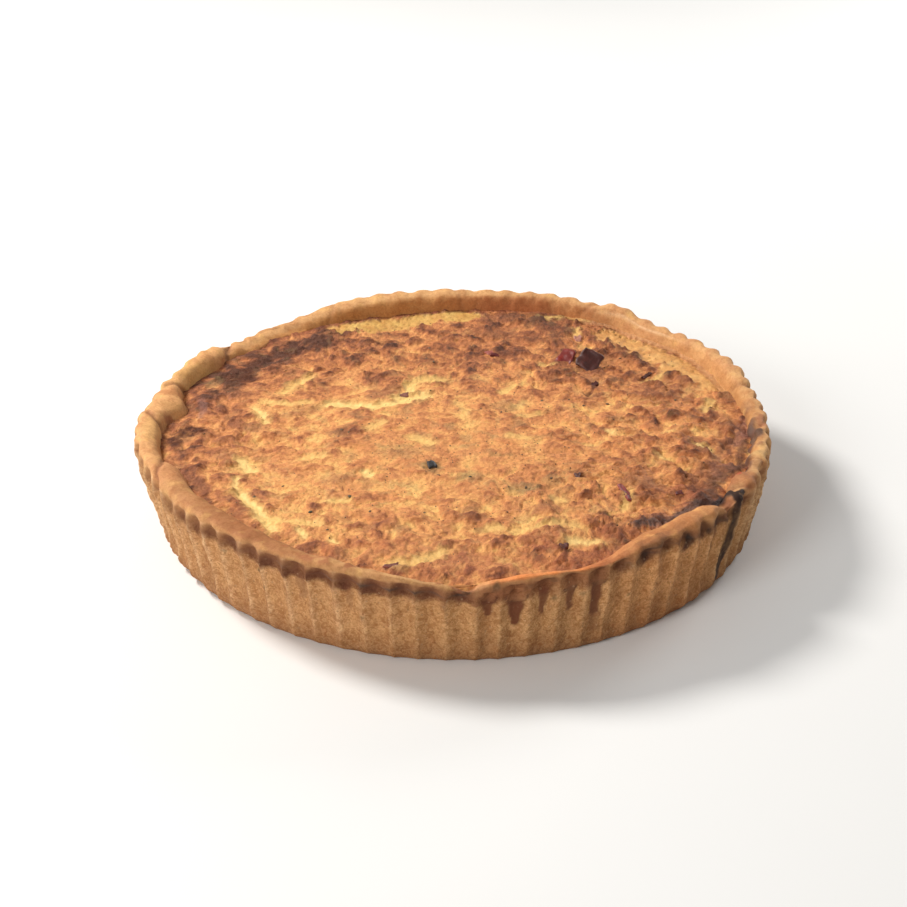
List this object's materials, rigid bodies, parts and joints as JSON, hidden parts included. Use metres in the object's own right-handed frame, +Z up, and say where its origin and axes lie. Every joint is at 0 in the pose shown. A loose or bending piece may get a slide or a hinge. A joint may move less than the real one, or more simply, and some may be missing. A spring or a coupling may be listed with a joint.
{
  "type": "quiche",
  "caption": "Deep round quiche: fluted shortcrust case with a rolled, uneven rim, filled with browned baked egg custard and chips of cured meat.",
  "frame": {"origin": "middle of the outline at the base, on the surface that the quiche rests on", "axes": "+Z up through the filling, -Y towards the front of the quiche where the rim has its notch, +X to the right"},
  "size_m": [0.253, 0.2504, 0.0416],
  "materials": {
    "crust": "baked shortcrust pastry, matte and sandy, browned at the rim",
    "filling": "baked egg custard and cheese, lumpy, browned, faintly greasy",
    "dark_chip": "charred cured meat, satin",
    "red_chip": "dark red cured meat, satin"
  },
  "bodies": {
    "root": {"crust": "crust", "filling": "filling", "dark_chip": "dark_chip", "red_chip": "red_chip"}
  },
  "joints": []
}
